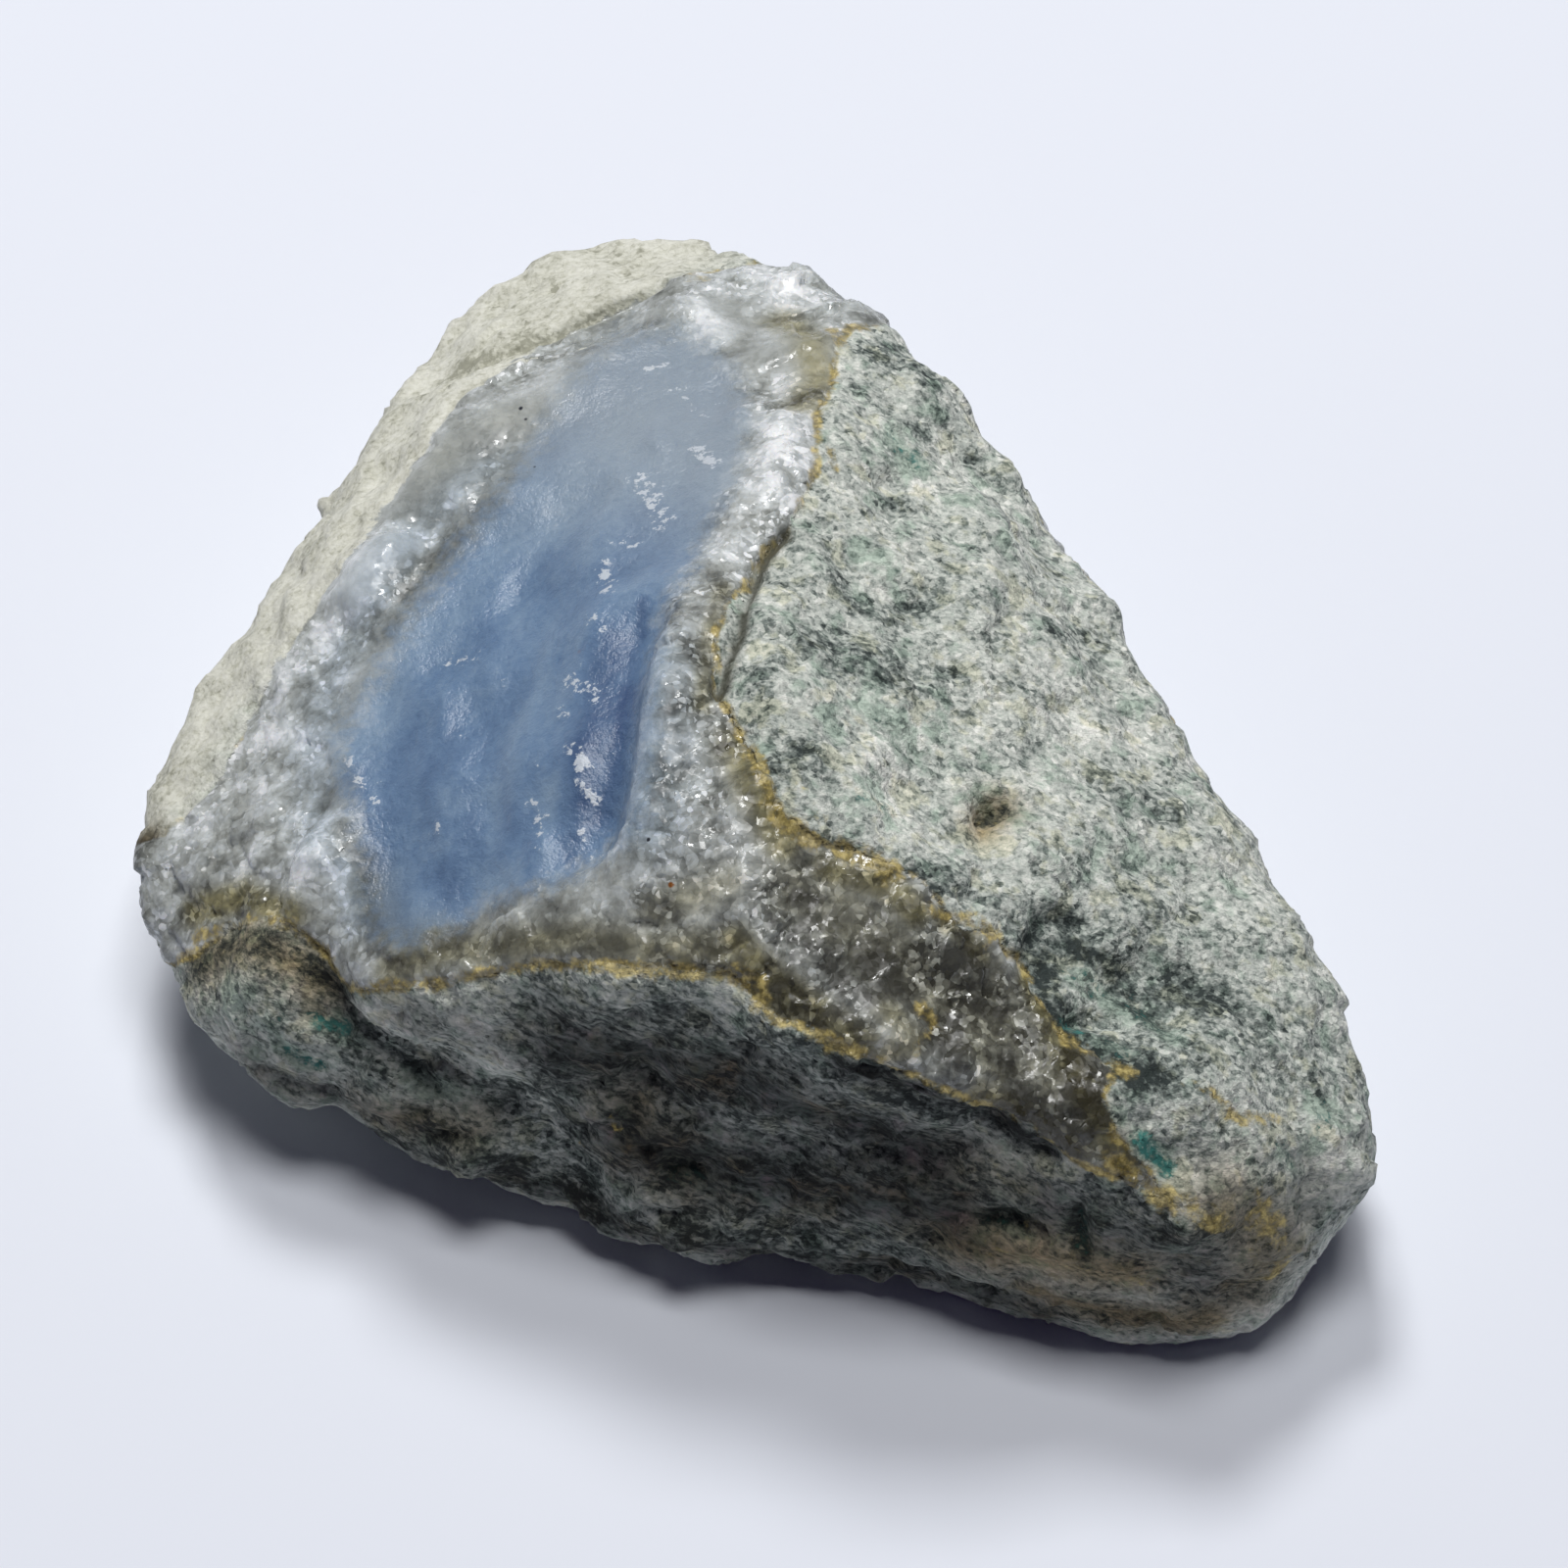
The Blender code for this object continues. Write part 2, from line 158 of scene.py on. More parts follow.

# Colour that is laid on, by kind, from the top of the photograph down: a width, a strength
# and the pixels that it runs through. The kinds smooth and painted shade also ease and roughen the
# relief. The painted shade darkens the front, its foot and a notch at the left tip, where little light falls
STROKES = {
    # Dark rock flecks and patches, and painted shade in pits, slots, notches, creases, hollows, the arc step
    # and along the foot
    "dark_rock_and_painted_shade": [
        (0.35, 1.0, [(567, 293)]), (1.2, 0.7, [(887, 358), (903, 370)]), (1.4, 0.5, [(915, 360), (940, 385)]),
        (0.6, 0.7, [(450, 388), (510, 368), (573, 345), (640, 318), (679, 298)]),
        (0.9, 0.7, [(432, 395), (470, 378), (510, 368)]), (1.6, 0.3, [(850, 425), (890, 430)]),
        (0.8, 0.5, [(927, 435), (945, 445)]), (0.6, 0.7, [(992, 468), (1008, 484), (1025, 498)]),
        (0.6, 0.6, [(905, 515), (916, 517)]), (1.4, 0.4, [(960, 530), (1000, 535)]),
        (0.5, 0.7, [(989, 558), (995, 561)]), (1.4, 0.5, [(925, 602), (955, 610)]),
        (1.6, 0.5, [(855, 610), (880, 625), (935, 620)]), (0.7, 1.0, [(918, 620), (944, 619)]),
        (1.0, 0.5, [(1078, 641), (1127, 637)]), (2.2, 0.4, [(813, 650), (850, 640), (903, 675), (940, 690)]),
        (0.6, 1.0, [(955, 682), (980, 688)]), (1.2, 0.5, [(775, 690), (782, 730)]),
        (1.5, 0.5, [(860, 690), (920, 695)]), (0.7, 1.0, [(797, 768), (826, 761)]), (1.4, 0.4, [(1050, 775)]),
        (1.4, 0.4, [(960, 780), (1000, 790)]), (1.3, 0.5, [(840, 785), (860, 800)]),
        (1.4, 0.6, [(1130, 800), (1160, 820), (1195, 832)]), (0.55, 1.0, [(1003, 838), (1022, 826)]),
        (1.3, 0.9, [(156, 865), (156, 900), (160, 928)]), (0.5, 0.8, [(1062, 884)]),
        (1.3, 0.5, [(850, 885), (930, 900)]), (1.6, 0.6, [(860, 888), (930, 905), (1015, 908)]),
        (2.0, 0.6, [(1162, 925), (1166, 975)]), (2.2, 0.5, [(1040, 950), (1090, 985)]),
        (0.6, 0.9, [(1048, 966), (1060, 942), (1080, 934), (1102, 945)]),
        (1.3, 1.0, [(1103, 968), (1152, 1000)]), (4.2, 0.5, [(1125, 970), (1165, 1010), (1215, 1030)]),
        (1.8, 0.8, [(198, 985), (225, 965), (301, 968), (342, 1012)]),
        (1.7, 1.2, [(1062, 998), (1080, 1036), (1098, 1062)]), (1.6, 0.6, [(285, 1000), (302, 1052)]),
        (1.4, 1.1, [(1198, 1000), (1225, 1006), (1250, 1018)]),
        (1.0, 0.7, [(332, 1004), (363, 1040), (396, 1070), (436, 1098)]),
        (1.4, 1.0, [(1140, 1008), (1192, 1042)]),
        (3.2, 0.45, [(560, 1020), (650, 1040), (760, 1060), (860, 1100)]),
        (2.2, 0.9, [(1165, 1020), (1200, 1018), (1230, 1025)]), (0.6, 1.0, [(1106, 1038), (1136, 1041)]),
        (1.2, 0.6, [(335, 1055), (370, 1085), (395, 1105)]), (1.3, 0.8, [(800, 1058), (832, 1070)]),
        (1.9, 1.2, [(1122, 1080), (1150, 1100), (1185, 1100)]),
        (1.9, 0.8, [(560, 1085), (572, 1130), (585, 1165)]),
        (1.6, 0.6, [(850, 1085), (950, 1118), (1010, 1142), (1060, 1165)]),
        (0.8, 0.8, [(645, 1088), (660, 1100)]),
        (3.0, 0.6, [(1125, 1090), (1190, 1100), (1260, 1050), (1310, 1080)]),
        (1.4, 0.9, [(1335, 1092), (1345, 1112)]), (1.0, 0.8, [(500, 1105), (580, 1130), (650, 1150)]),
        (1.6, 0.9, [(905, 1118), (950, 1130), (985, 1138)]), (2.0, 0.7, [(700, 1125), (780, 1140)]),
        (1.5, 0.8, [(530, 1128), (560, 1160)]), (1.4, 0.6, [(860, 1130), (900, 1150), (960, 1170)]),
        (2.4, 0.2, [(1285, 1130), (1315, 1170)]), (1.6, 0.5, [(1175, 1135), (1225, 1150)]),
        (1.2, 0.8, [(1098, 1140), (1112, 1162)]), (2.4, 0.3, [(720, 1150), (820, 1165)]),
        (0.5, 0.8, [(1246, 1151)]), (1.8, 0.9, [(440, 1158), (490, 1182), (530, 1195)]),
        (0.9, 0.5, [(560, 1158), (602, 1190)]), (1.6, 0.5, [(520, 1160), (560, 1170), (590, 1186)]),
        (1.8, 0.8, [(560, 1160), (590, 1190), (600, 1225)]), (0.6, 0.9, [(1184, 1160), (1190, 1166)]),
        (1.6, 0.7, [(400, 1165), (480, 1185), (560, 1205)]), (0.7, 1.0, [(452, 1166), (474, 1168)]),
        (2.0, 0.5, [(740, 1180), (830, 1200), (900, 1195)]), (1.2, 0.5, [(684, 1190), (714, 1198)]),
        (2.6, 0.3, [(960, 1200), (1040, 1220)]), (1.8, 0.7, [(1080, 1208), (1160, 1228), (1230, 1262)]),
        (1.8, 0.7, [(600, 1228), (700, 1252), (820, 1272), (950, 1288)]),
        (0.8, 1.0, [(1098, 1235), (1103, 1268)]),
        (1.8, 0.5, [(730, 1245), (800, 1262), (900, 1262), (940, 1275)]),
        (0.9, 1.0, [(1008, 1246), (1040, 1244)]),
    ],
    "green": [
        (1.4, 0.8, [(911, 447), (935, 472)]), (1.6, 0.5, [(870, 560), (905, 580)]),
        (2.4, 0.5, [(850, 722), (960, 735)]), (1.2, 0.8, [(880, 812), (905, 825)]),
        (1.4, 0.4, [(1060, 860), (1180, 880)]), (1.4, 0.7, [(1090, 990), (1130, 1012)]),
        (2.2, 0.5, [(230, 1010), (280, 1040)]), (1.6, 0.7, [(1160, 1024), (1200, 1052)]),
        (0.8, 1.2, [(318, 1041), (350, 1053)]), (0.9, 1.0, [(1088, 1046), (1100, 1050)]),
        (1.0, 0.8, [(1135, 1068), (1150, 1074)]), (0.7, 1.1, [(290, 1072), (305, 1086), (325, 1091)]),
        (1.6, 0.5, [(415, 1100), (460, 1110)]), (1.4, 0.7, [(1352, 1135), (1340, 1160)]),
        (0.8, 1.4, [(1164, 1164), (1178, 1178), (1192, 1192)]), (1.2, 0.6, [(1305, 1172), (1320, 1190)]),
        (1.1, 0.8, [(684, 1196), (714, 1202)]), (0.9, 0.9, [(1102, 1245), (1106, 1270)]),
        (1.0, 0.8, [(1008, 1250), (1040, 1248)]),
    ],
    "pale": [
        (2.6, 1.1, [(770, 285), (810, 290), (870, 305)]), (1.6, 0.9, [(708, 320), (738, 344)]),
        (2.0, 0.9, [(800, 340), (835, 365), (810, 390)]),
        (2.8, 0.55, [(640, 425), (580, 500), (515, 560), (455, 610), (395, 690), (350, 745)]),
        (1.8, 0.9, [(776, 432), (800, 440), (826, 460)]), (1.5, 1.0, [(804, 432), (796, 465), (788, 505)]),
        (2.6, 0.55, [(455, 440), (500, 415), (540, 402)]), (1.8, 0.4, [(640, 440), (625, 500), (600, 560)]),
        (1.0, 0.6, [(846, 460), (854, 484)]), (1.6, 0.9, [(766, 490), (786, 496), (806, 516)]),
        (2.0, 0.6, [(410, 500), (422, 482)]), (1.6, 0.6, [(956, 508), (956, 541)]),
        (1.4, 0.5, [(735, 575), (765, 570)]), (2.6, 1.0, [(362, 602), (380, 580), (398, 562)]),
        (1.8, 0.9, [(345, 640), (368, 612)]), (0.9, 0.35, [(561, 656), (549, 697), (524, 750), (520, 783)]),
        (1.5, 0.7, [(672, 665), (664, 700), (658, 750), (652, 811)]),
        (2.6, 0.4, [(262, 690), (285, 760), (262, 840)]), (2.0, 0.9, [(1092, 695), (1100, 735)]),
        (2.0, 0.4, [(280, 740), (320, 760), (310, 830)]), (1.5, 0.5, [(738, 765), (734, 785)]),
        (2.0, 1.0, [(905, 765), (905, 800), (900, 840)]), (1.2, 0.7, [(700, 770), (712, 790)]),
        (2.0, 0.35, [(960, 770), (1060, 790)]), (0.6, 0.35, [(445, 800), (455, 825), (500, 800)]),
        (0.8, 0.4, [(560, 800), (556, 850), (565, 890)]), (2.0, 1.2, [(885, 808), (912, 828)]),
        (0.8, 0.4, [(498, 815), (500, 860)]), (2.0, 0.5, [(215, 850), (262, 790), (300, 740)]),
        (1.7, 0.6, [(738, 850), (735, 900)]), (2.4, 0.5, [(980, 850), (1010, 900)]),
        (1.4, 0.6, [(1095, 858)]), (1.3, 0.7, [(300, 872), (325, 880)]), (2.0, 0.9, [(318, 880), (306, 912)]),
        (2.0, 0.7, [(262, 895), (300, 915), (325, 905)]), (2.0, 0.2, [(500, 900), (560, 905), (610, 885)]),
        (1.8, 0.8, [(285, 925), (300, 948)]), (1.5, 0.9, [(902, 1036), (910, 1058)]),
        (0.7, 0.9, [(1048, 1046), (1056, 1052)]), (1.2, 0.6, [(1235, 1070), (1270, 1085)]),
        (0.7, 0.8, [(1044, 1080), (1056, 1096)]), (1.2, 0.8, [(1004, 1100), (1016, 1108)]),
        (1.8, 0.6, [(1205, 1125), (1225, 1135)]), (1.4, 0.8, [(1250, 1135), (1290, 1102)]),
        # The second stroke below is painted light: it lightens the edge of the right corner to stand for
        # light falling there
        (1.6, 0.5, [(890, 1165), (940, 1180)]), (2.0, 0.8, [(1335, 1170), (1365, 1190)]),
        (2.0, 0.4, [(1000, 1275), (1080, 1288)]),
    ],
    "ochre": [
        (0.8, 0.8, [(846, 335), (858, 350)]), (0.6, 1.0, [(846, 460), (852, 480)]),
        (1.2, 0.5, [(1015, 590), (1030, 606)]), (0.8, 1.0, [(752, 745), (778, 790), (796, 835), (830, 862)]),
        (0.7, 1.2, [(766, 764), (780, 790)]), (0.9, 0.7, [(812, 790), (838, 835)]),
        (0.3, 0.6, [(1131, 811), (1193, 811)]), (1.1, 0.5, [(1012, 836), (1030, 850)]),
        (1.1, 1.1, [(860, 866), (915, 886)]), (1.0, 1.0, [(955, 928), (985, 940), (1010, 952)]),
        (0.8, 1.0, [(200, 955), (250, 938), (300, 942), (330, 970), (350, 1000)]),
        (1.2, 1.2, [(752, 996), (768, 1002), (775, 1018)]),
        (0.7, 1.0, [(385, 1008), (450, 1003), (520, 990), (600, 985), (680, 990), (740, 995)]),
        (0.7, 0.9, [(850, 1062), (900, 1085)]), (0.8, 1.0, [(1090, 1066), (1125, 1080), (1150, 1095)]),
        (0.8, 0.8, [(936, 1068), (955, 1050), (936, 1030)]), (0.35, 1.3, [(1322, 1074)]),
        (0.7, 0.9, [(1201, 1107), (1242, 1119), (1266, 1139), (1307, 1139)]),
        (0.5, 1.5, [(627, 1140), (630, 1150)]), (0.4, 1.0, [(596, 1166)]),
        (1.1, 1.0, [(1140, 1190), (1190, 1225), (1240, 1250)]), (1.2, 0.5, [(1340, 1210), (1375, 1215)]),
        (1.8, 0.8, [(1282, 1221), (1303, 1262), (1291, 1307)]),
        (1.3, 0.9, [(1187, 1226), (1225, 1243), (1262, 1250), (1285, 1236)]),
        (2.4, 0.5, [(989, 1262), (1078, 1280), (1152, 1296)]),
    ],
    "olive": [
        (2.0, 0.8, [(800, 330), (826, 345), (836, 390), (820, 410)]),
        (3.0, 0.3, [(422, 493), (460, 460), (516, 424)]), (1.2, 0.4, [(418, 600), (445, 575)]),
        (1.0, 0.7, [(738, 600), (722, 660), (716, 720)]), (1.8, 0.9, [(750, 760), (775, 810), (800, 860)]),
        (1.5, 0.9, [(842, 885), (900, 900), (935, 930)]), (1.6, 0.7, [(384, 900), (400, 950), (440, 952)]),
        (4.5, 0.55, [(820, 900), (900, 965), (1000, 1040), (1090, 1110)]),
        (1.5, 1.0, [(200, 930), (250, 915), (300, 935)]), (2.0, 0.6, [(670, 930), (740, 900)]),
        (1.3, 0.8, [(965, 935), (1000, 975)]), (1.5, 0.9, [(748, 960), (790, 1000), (830, 1030)]),
        (1.8, 0.7, [(660, 970), (720, 965), (760, 985)]), (1.6, 0.8, [(700, 985), (745, 1010), (790, 1040)]),
        (2.0, 0.5, [(1010, 985), (1040, 1030), (1070, 1070)]),
        (1.8, 0.7, [(400, 988), (460, 970), (530, 965), (590, 958), (640, 965)]),
        (1.5, 0.8, [(760, 1000), (800, 1030), (850, 1045), (880, 1062)]),
        (1.4, 1.2, [(1052, 1005), (1068, 1030)]), (1.6, 0.7, [(900, 1030), (930, 1060), (900, 1080)]),
        (1.8, 0.9, [(1068, 1040), (1090, 1080), (1110, 1120), (1150, 1185)]),
        (1.4, 0.6, [(955, 1050), (990, 1070), (1020, 1100)]),
        (1.5, 0.9, [(1000, 1118), (1050, 1142), (1100, 1172)]),
    ],
    "navy": [
        # The strokes that run down beside the step in the opal, here and on the next two lines, are partly
        # its deeper blue and partly painted shade of the step
        (2.6, 0.2, [(585, 590), (572, 640), (545, 700)]), (0.5, 0.7, [(654, 612), (653, 645)]),
        (1.8, 0.8, [(626, 650), (608, 700), (602, 760), (598, 820)]), (0.8, 0.45, [(648, 655), (641, 690)]),
        (1.1, 0.8, [(638, 700), (631, 740), (624, 790), (612, 830)]),
        (3.0, 0.15, [(440, 720), (490, 760), (540, 790)]), (1.2, 0.3, [(528, 828), (532, 862)]),
        (3.0, 0.25, [(440, 830), (500, 840)]), (1.2, 0.4, [(576, 835), (583, 872)]),
        (1.3, 0.3, [(478, 838), (486, 862)]), (1.5, 0.3, [(380, 885), (388, 935)]),
        (1.6, 0.5, [(446, 888), (456, 905)]),
    ],
    "fleck": [
        (0.4, 1.1, [(662, 374), (680, 370)]), (1.2, 0.6, [(690, 400), (720, 420)]),
        (0.7, 1.1, [(708, 455), (730, 470)]), (1.0, 1.0, [(652, 488), (668, 512), (676, 530)]),
        (0.6, 0.8, [(629, 550), (645, 552)]), (0.8, 1.0, [(612, 575), (618, 598)]),
        (0.8, 0.7, [(600, 622), (620, 641)]), (0.6, 0.8, [(457, 673), (484, 666)]),
        (0.9, 0.8, [(578, 690), (610, 706)]), (0.4, 0.9, [(513, 692)]), (0.5, 0.8, [(566, 725), (578, 731)]),
        (0.4, 0.9, [(470, 745)]), (0.7, 1.1, [(583, 760), (594, 780)]),
        (0.5, 0.8, [(353, 775), (368, 800), (380, 818)]), (0.4, 0.9, [(546, 779)]),
        (0.6, 1.0, [(590, 799), (609, 816)]), (0.7, 0.7, [(543, 815), (548, 858)]),
        (0.4, 0.9, [(446, 835), (441, 850)]), (0.9, 0.8, [(590, 850), (618, 878)]),
        (0.8, 0.5, [(540, 905), (570, 915), (600, 900)]),
    ],
    "grey": [
        (2.0, 0.7, [(560, 482), (520, 512), (472, 548), (430, 592), (410, 630)]),
        (1.4, 0.6, [(690, 615), (695, 660)]), (1.6, 0.3, [(380, 690), (345, 735)]),
        (1.7, 0.8, [(690, 730), (738, 740)]), (1.8, 0.8, [(690, 790), (700, 825), (735, 815)]),
        (1.3, 0.4, [(240, 800), (262, 850), (230, 880)]), (1.6, 0.3, [(348, 840), (352, 900), (370, 950)]),
        (1.6, 0.6, [(372, 885), (380, 940)]), (1.4, 0.5, [(560, 895), (610, 892)]),
        (1.8, 1.0, [(810, 915), (850, 935)]), (2.4, 1.1, [(812, 925), (845, 960), (860, 1010)]),
        (1.8, 0.45, [(430, 962), (500, 945), (560, 935)]),
        (3.4, 1.3, [(900, 980), (980, 1040), (1060, 1110), (1120, 1160)]),
        (2.0, 1.4, [(985, 990), (1015, 1020), (1040, 1055)]), (1.4, 0.7, [(720, 995), (760, 1020)]),
        (1.8, 1.0, [(770, 1010), (830, 1038), (870, 1045)]),
        (2.3, 1.3, [(870, 1010), (930, 1025), (975, 1055), (1020, 1065)]),
        (2.2, 1.5, [(1045, 1080), (1090, 1095), (1115, 1110)]),
    ],
    "smooth": [
        (2.4, 0.9, [(745, 320), (770, 360), (800, 350), (836, 370)]),
        (2.0, 0.6, [(600, 330), (680, 315), (760, 330)]),
        (2.0, 0.9, [(620, 350), (575, 400), (540, 470), (470, 560), (400, 650), (350, 740), (350, 800)]),
        (2.6, 0.9, [(440, 470), (500, 430), (560, 395)]), (3.2, 1.0, [(420, 505), (470, 455), (540, 420)]),
        (2.2, 1.0, [(362, 602), (380, 580), (398, 562)]), (1.6, 0.7, [(668, 690), (660, 760)]),
        (1.4, 0.8, [(372, 870), (385, 940), (430, 965), (490, 935)]),
        (1.8, 0.7, [(500, 905), (560, 905), (620, 890)]), (2.0, 0.5, [(860, 950), (900, 1010)]),
        (1.6, 0.5, [(530, 960), (590, 955), (650, 962)]),
    ],
    "brown": [
        (1.6, 0.9, [(1000, 850), (1020, 826)]), (1.3, 1.0, [(156, 865), (156, 900), (160, 928)]),
        (2.2, 0.9, [(205, 980), (250, 960), (290, 975), (330, 1004)]),
        (2.4, 0.5, [(640, 1120), (660, 1160), (700, 1200)]), (2.0, 0.7, [(400, 1140), (480, 1160)]),
        (1.6, 1.2, [(1098, 1140), (1110, 1160), (1124, 1175)]), (2.4, 0.4, [(960, 1190), (1040, 1200)]),
        (3.0, 0.7, [(1250, 1230), (1290, 1270), (1270, 1320)]),
        (3.0, 1.0, [(980, 1268), (1060, 1280), (1150, 1296)]),
        (2.2, 1.0, [(1060, 1320), (1150, 1345), (1230, 1345)]),
    ],
    # Painted shade: wide darkening of the front face, its foot, the lower left lobe and a notch at the left
    # tip, where little light falls
    "painted_shade": [
        (1.4, 0.8, [(156, 865), (156, 900), (160, 928)]), (3.0, 0.5, [(340, 1030), (420, 1090), (500, 1130)]),
        (3.0, 0.5, [(420, 1045), (520, 1065)]),
        (4.5, 1.0, [(580, 1075), (680, 1085), (780, 1110), (940, 1170)]),
        (3.0, 0.7, [(260, 1090), (340, 1120), (420, 1150)]),
        (1.6, 1.0, [(860, 1092), (950, 1122), (1010, 1145), (1060, 1168)]),
        (2.6, 0.9, [
            (400, 1165), (500, 1200), (600, 1235), (700, 1265), (820, 1288), (950, 1305), (1060, 1340),
        ]),
        (5.0, 1.0, [(640, 1170), (800, 1210), (960, 1230)]),
        (3.6, 0.8, [(1060, 1230), (1180, 1270), (1240, 1310)]),
        (3.0, 0.5, [(1240, 1240), (1300, 1280), (1340, 1220)]),
        (2.4, 0.5, [(960, 1290), (1100, 1330), (1200, 1350)]),
    ],
    "blue": [
        (2.2, 0.55, [(500, 475), (430, 545), (380, 620), (340, 690), (322, 760), (325, 850)]),
        (2.4, 0.8, [(668, 680), (664, 760), (660, 840)]), (1.4, 0.6, [(350, 880), (366, 940)]),
    ],
    # Painted shade in the open crack beside the vein
    "painted_crack_shade": [
        (0.4, 1.2, [(804, 542), (783, 565), (772, 587), (761, 620), (756, 648), (742, 680), (735, 705)]),
    ],
}

# Single specks: a colour, a radius and a pixel
SPECKS = [
    ("rust", 0.34, (587, 662)), ("rust", 0.2, (620, 594)), ("rust", 0.2, (685, 903)),
    ("soot", 0.2, (393, 825)), ("soot", 0.13, (410, 831)), ("soot", 0.2, (532, 418)),
    ("soot", 0.16, (537, 429)), ("soot", 0.14, (545, 475)), ("soot", 0.14, (662, 857)),
]
SPECK_COLOURS = {"rust": (138, 82, 24), "soot": (42, 44, 52)}
SPECK_EDGE = 0.25

# The fine mesh: the width of its cells, how often it is eased, and how far round the vein its cells
# are halved
CELL = 0.56
EASING_STEPS = 7
VEIN_MARGIN = 0.8

# How far the edges of the regions wander: in pixels, and for the cream rock in millimetres
VEIN_WOBBLE = 5.0
OPAL_WOBBLE = 6.0
CREAM_WOBBLE = 1.5
CREAM_SOFTNESS = 2.5
# The depth in the opal that stands for the sides without any
NO_OPAL = -9.0

# The worked surface: the heights over the floor where relief begins and is full, how far it is let out
# all over, how far it may pass the solid's box, the depth and width of the groove along the vein's
# edge, and how deep the opal lies
RELIEF_FROM = 0.02
RELIEF_FULL = 1.2
LIFT = 0.05
BOX_MARGIN = 0.3
EDGE_GROOVE = 0.12
EDGE_GROOVE_WIDTH = 0.45
OPAL_SINK = 0.3

# What gives each facet its own tilt, and picks the cells that have a pit
TILT_SEED = 31.7
PIT_SEED = 17.3
PIT_WIDTH = 0.35

# Widths of the grains that are only in the materials
HOST_GRAIN = 0.36
QUARTZ_GRAIN = 0.85
SUGAR_GRAIN = 0.36

# Light that scatters under the surface of the vein: its share, its reach and its colour
SCATTER = 0.35
SCATTER_REACH = 1.6
SCATTER_COLOUR = (0.8, 0.95, 1.2)

# The regions that each material shows, and the depths in the vein and the opal where they change
MATERIALS = {
    "host_rock": ("host",), "vein_contact": ("host", "quartz"), "quartz": ("quartz",),
    "opal_edge": ("quartz", "opal"), "opal": ("opal",),
}
CONTACT_DEPTH = 0.7
OPAL_EDGE_FROM = -2.2
OPAL_EDGE_TO = 3.0

# The lamps: elevation and turn to the left of straight behind the stone in degrees, distance and width
# in metres, and power in watts
LAMPS = {"overhead": (86.3, -105, 1.2, 0.40, 7.3), "window": (63, 12, 0.8, 0.20, 3.46)}
ROOM_COLOUR = (0.42, 0.22, 1.0, 1.0)
ROOM_STRENGTH = 0.026
PAPER_COLOUR = (231, 235, 243)
PAPER_WIDTH = 4.0


def rgb(red, green, blue):
    """A colour given as the photograph shows it, 0 to 255, in the linear values that shaders take."""
    shares = [value / 255 for value in (red, green, blue)]
    linear = [s / 12.92 if s <= 0.04045 else ((s + 0.055) / 1.055) ** 2.4 for s in shares]
    return (*linear, 1.0)


def smoothstep(value, low, high):
    """0 at low, 1 at high, and smooth between them."""
    share = np.clip((value - low) / (high - low), 0.0, 1.0)
    return share * share * (3 - 2 * share)


def hump(distance, width):
    """1 at no distance, and falling to nothing over about two widths."""
    return np.exp(-((distance / width) ** 2))


def pixels_of(points):
    """Where points, in millimetres, are in the photograph."""
    away = points - EYE
    scale = CAMERA_DISTANCE * PIXELS_PER_MM / (away @ FORWARD)
    half = FRAME_PIXELS / 2
    return np.stack([half + (away @ IMAGE_RIGHT) * scale, half - (away @ IMAGE_UP) * scale], -1)


def place_on(tree, pixel):
    """The place on the stone, in millimetres, that a pixel of the photograph shows, or None."""
    half = FRAME_PIXELS / 2
    across = (pixel[0] - half) / PIXELS_PER_MM
    up = (half - pixel[1]) / PIXELS_PER_MM
    way = FORWARD * CAMERA_DISTANCE + IMAGE_RIGHT * across + IMAGE_UP * up
    hit = tree.ray_cast(Vector(EYE * MM), Vector(way).normalized())[0]
    return None if hit is None else np.array(hit) / MM


def on_stone(tree, pixels):
    """The places on the stone that pixels show, without those that miss it."""
    found = [place_on(tree, pixel) for pixel in pixels]
    return [place for place in found if place is not None]


def distance_to_path(points, path):
    """How far each point is from a run of straight stretches, or from a single place."""
    if len(path) == 1:
        return np.linalg.norm(points - path[0], axis=1)
    nearest = np.full(len(points), np.inf)
    for start, end in zip(path, path[1:]):
        along = end - start
        share = np.clip((points - start) @ along / max(along @ along, 1e-9), 0.0, 1.0)
        foot = start + share[:, None] * along
        nearest = np.minimum(nearest, np.linalg.norm(points - foot, axis=1))
    return nearest


def inside(points, outline):
    """Whether each pixel is inside an outline."""
    crossings = np.zeros(len(points), int)
    for (x1, y1), (x2, y2) in zip(outline, outline[1:] + outline[:1]):
        spans = (y1 > points[:, 1]) != (y2 > points[:, 1])
        slope = (x2 - x1) / (y2 - y1) if y1 != y2 else 0.0
        crossings += spans & (points[:, 0] < x1 + (points[:, 1] - y1) * slope)
    return crossings % 2 == 1


def depth_inside(points, outline):
    """How far inside an outline each pixel is, in millimetres, and less than nothing outside."""
    closed = [np.array(p, float) for p in outline + outline[:1]]
    away = distance_to_path(points, closed) / PIXELS_PER_MM
    return np.where(inside(points, outline), away, -away)


def noise_at(points, size):
    """Smooth noise from -1 to 1, with lumps of a size in millimetres. Points moved aside by a fixed
    amount give another noise of the same kind."""
    return np.array([noise.noise(Vector(p)) for p in points / size])


def facets_at(points, size, slope):
    """Height of flat facets, each tilted its own way about its middle."""
    heights = np.empty(len(points))
    for i, place in enumerate(points / size):
        _, middles = noise.voronoi(Vector(place))
        tilt = noise.cell_vector(middles[0] * TILT_SEED) - Vector((0.5, 0.5, 0.5))
        heights[i] = 2.0 * slope * size * tilt.dot(Vector(place) - middles[0])
    return heights


